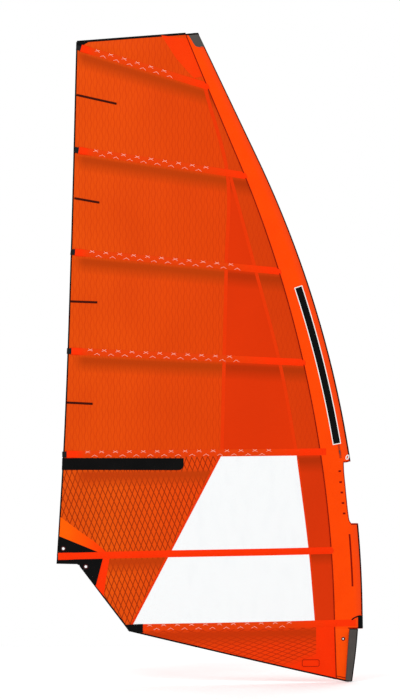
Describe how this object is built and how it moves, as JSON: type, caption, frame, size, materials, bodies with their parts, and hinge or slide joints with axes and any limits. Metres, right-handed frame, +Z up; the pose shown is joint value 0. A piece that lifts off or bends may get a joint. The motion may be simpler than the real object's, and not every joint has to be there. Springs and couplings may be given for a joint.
{
  "type": "windsurf sail",
  "caption": "Tall windsurf race sail with full-length battens, a mast sleeve with a boom opening, clear windows and laminate corners.",
  "frame": {"origin": "on the mast's axis, where the mast sleeve ends at the foot", "axes": "+Z up towards the head, +X forward from leech to luff, +Y out of the hollow side of the sail"},
  "size_m": [2.4178, 0.1204, 5.1198],
  "materials": {
    "scrim_cloth": "satin",
    "luff_cloth": "satin",
    "mesh_laminate": "satin",
    "window_film": "gloss",
    "sleeve_cloth": "satin",
    "pocket_cloth": "satin",
    "black_patch": "matte",
    "grey_chafe": "matte",
    "grey_padding": "matte",
    "batten_composite": "satin",
    "black_moulding": "satin",
    "pusher_moulding": "satin",
    "stainless": "satin",
    "sheave_nylon": "satin",
    "zip_metal": "satin"
  },
  "bodies": {
    "sail": {"body_panel_1": "scrim_cloth", "body_panel_2": "scrim_cloth", "body_panel_3": "scrim_cloth", "body_panel_4": "scrim_cloth", "body_panel_5": "scrim_cloth", "mid_panels": "luff_cloth", "luff_panels": "luff_cloth", "window_luff_panels": "luff_cloth", "leech_panel_upper": "mesh_laminate", "leech_panel_lower": "mesh_laminate", "window_upper": "window_film", "window_lower": "window_film", "foot_panel": "mesh_laminate", "tack_panel": "sleeve_cloth", "upper_sleeve": "sleeve_cloth", "boom_opening_panel": "sleeve_cloth", "lower_sleeve": "sleeve_cloth", "sleeve_tongue": "sleeve_cloth", "sleeve_cuff": "black_patch", "tack_fairing": "grey_padding", "head_patch": "grey_chafe", "mini_battens": "batten_composite", "tensioner_housings": "black_moulding", "clew_patches": "black_patch", "rings": "stainless", "cams": "black_moulding", "tack_pulley_frame": "stainless", "mast_tip_socket": "black_moulding", "batten_pocket_1": "pocket_cloth", "batten_pocket_2": "pocket_cloth", "batten_pocket_3": "pocket_cloth", "batten_pocket_4": "pocket_cloth", "batten_pocket_5": "pocket_cloth", "batten_pocket_6": "pocket_cloth", "batten_pocket_7": "pocket_cloth", "batten_1": "batten_composite", "batten_2": "batten_composite", "batten_3": "batten_composite", "batten_4": "batten_composite", "batten_5": "batten_composite", "batten_6": "batten_composite", "batten_7": "batten_composite"},
    "tension_screw_1": {"tension_screw_1": "stainless"},
    "batten_pusher_1": {"batten_pusher_1": "pusher_moulding"},
    "tension_screw_2": {"tension_screw_2": "stainless"},
    "batten_pusher_2": {"batten_pusher_2": "pusher_moulding"},
    "tension_screw_3": {"tension_screw_3": "stainless"},
    "batten_pusher_3": {"batten_pusher_3": "pusher_moulding"},
    "tension_screw_4": {"tension_screw_4": "stainless"},
    "batten_pusher_4": {"batten_pusher_4": "pusher_moulding"},
    "tension_screw_5": {"tension_screw_5": "stainless"},
    "batten_pusher_5": {"batten_pusher_5": "pusher_moulding"},
    "tension_screw_6": {"tension_screw_6": "stainless"},
    "batten_pusher_6": {"batten_pusher_6": "pusher_moulding"},
    "tension_screw_7": {"tension_screw_7": "stainless"},
    "batten_pusher_7": {"batten_pusher_7": "pusher_moulding"},
    "tack_sheave_1": {"tack_sheave_1": "sheave_nylon"},
    "tack_sheave_2": {"tack_sheave_2": "sheave_nylon"},
    "tack_sheave_3": {"tack_sheave_3": "sheave_nylon"},
    "zip_slider": {"zip_slider": "zip_metal"}
  },
  "joints": [
    {"name": "tension_screw_1_turn", "type": "hinge", "parent": "sail", "child": "tension_screw_1", "pos_m": [-2.222, -0.00002, 4.592], "axis": [0.9575, -0.0071, -0.2884], "range_deg": [-2160, 0]},
    {"name": "batten_pusher_1_slide", "type": "slide", "parent": "sail", "child": "batten_pusher_1", "axis": [0.9575, -0.0071, -0.2884], "range_m": [-0.012, 0]},
    {"name": "tension_screw_2_turn", "type": "hinge", "parent": "sail", "child": "tension_screw_2", "pos_m": [-2.241, -0.00006, 3.78], "axis": [0.9886, -0.0113, -0.1501], "range_deg": [-2160, 0]},
    {"name": "batten_pusher_2_slide", "type": "slide", "parent": "sail", "child": "batten_pusher_2", "axis": [0.9886, -0.0113, -0.1501], "range_m": [-0.012, 0]},
    {"name": "tension_screw_3_turn", "type": "hinge", "parent": "sail", "child": "tension_screw_3", "pos_m": [-2.27, -0.00006, 2.974], "axis": [0.9956, -0.012, -0.0928], "range_deg": [-2160, 0]},
    {"name": "batten_pusher_3_slide", "type": "slide", "parent": "sail", "child": "batten_pusher_3", "axis": [0.9956, -0.012, -0.0928], "range_m": [-0.012, 0]},
    {"name": "tension_screw_4_turn", "type": "hinge", "parent": "sail", "child": "tension_screw_4", "pos_m": [-2.299, -0.00005, 2.191], "axis": [0.9988, -0.0118, -0.0484], "range_deg": [-2160, 0]},
    {"name": "batten_pusher_4_slide", "type": "slide", "parent": "sail", "child": "batten_pusher_4", "axis": [0.9988, -0.0118, -0.0484], "range_m": [-0.012, 0]},
    {"name": "tension_screw_5_turn", "type": "hinge", "parent": "sail", "child": "tension_screw_5", "pos_m": [-2.336, -0.00002, 1.374], "axis": [0.9999, -0.0099, 0.0108], "range_deg": [-2160, 0]},
    {"name": "batten_pusher_5_slide", "type": "slide", "parent": "sail", "child": "batten_pusher_5", "axis": [0.9999, -0.0099, 0.0108], "range_m": [-0.012, 0]},
    {"name": "tension_screw_6_turn", "type": "hinge", "parent": "sail", "child": "tension_screw_6", "pos_m": [-2.377, 0, 0.568], "axis": [0.9996, -0.0069, 0.0268], "range_deg": [-2160, 0]},
    {"name": "batten_pusher_6_slide", "type": "slide", "parent": "sail", "child": "batten_pusher_6", "axis": [0.9996, -0.0069, 0.0268], "range_m": [-0.012, 0]},
    {"name": "tension_screw_7_turn", "type": "hinge", "parent": "sail", "child": "tension_screw_7", "pos_m": [-1.79, -0.02541, 0.007], "axis": [0.9973, -0.0706, 0.0224], "range_deg": [-2160, 0]},
    {"name": "batten_pusher_7_slide", "type": "slide", "parent": "sail", "child": "batten_pusher_7", "axis": [0.9973, -0.0706, 0.0224], "range_m": [-0.012, 0]},
    {"name": "tack_sheave_1_spin", "type": "hinge", "parent": "sail", "child": "tack_sheave_1", "pos_m": [-0.075, -0.016, -0.4], "axis": [1, 0, 0], "continuous": true},
    {"name": "tack_sheave_2_spin", "type": "hinge", "parent": "sail", "child": "tack_sheave_2", "pos_m": [-0.075, -0.016, -0.4], "axis": [1, 0, 0], "continuous": true},
    {"name": "tack_sheave_3_spin", "type": "hinge", "parent": "sail", "child": "tack_sheave_3", "pos_m": [-0.075, -0.016, -0.4], "axis": [1, 0, 0], "continuous": true},
    {"name": "zip_slider_slide", "type": "slide", "parent": "sail", "child": "zip_slider", "axis": [-0.159, 0, 0.9873], "range_m": [-0.045, 0.045]}
  ],
  "couplings": [
    {"joint": "batten_pusher_1_slide", "follows": "tension_screw_1_turn", "m_per_rad": 0.000318},
    {"joint": "batten_pusher_2_slide", "follows": "tension_screw_2_turn", "m_per_rad": 0.000318},
    {"joint": "batten_pusher_3_slide", "follows": "tension_screw_3_turn", "m_per_rad": 0.000318},
    {"joint": "batten_pusher_4_slide", "follows": "tension_screw_4_turn", "m_per_rad": 0.000318},
    {"joint": "batten_pusher_5_slide", "follows": "tension_screw_5_turn", "m_per_rad": 0.000318},
    {"joint": "batten_pusher_6_slide", "follows": "tension_screw_6_turn", "m_per_rad": 0.000318},
    {"joint": "batten_pusher_7_slide", "follows": "tension_screw_7_turn", "m_per_rad": 0.000318}
  ]
}
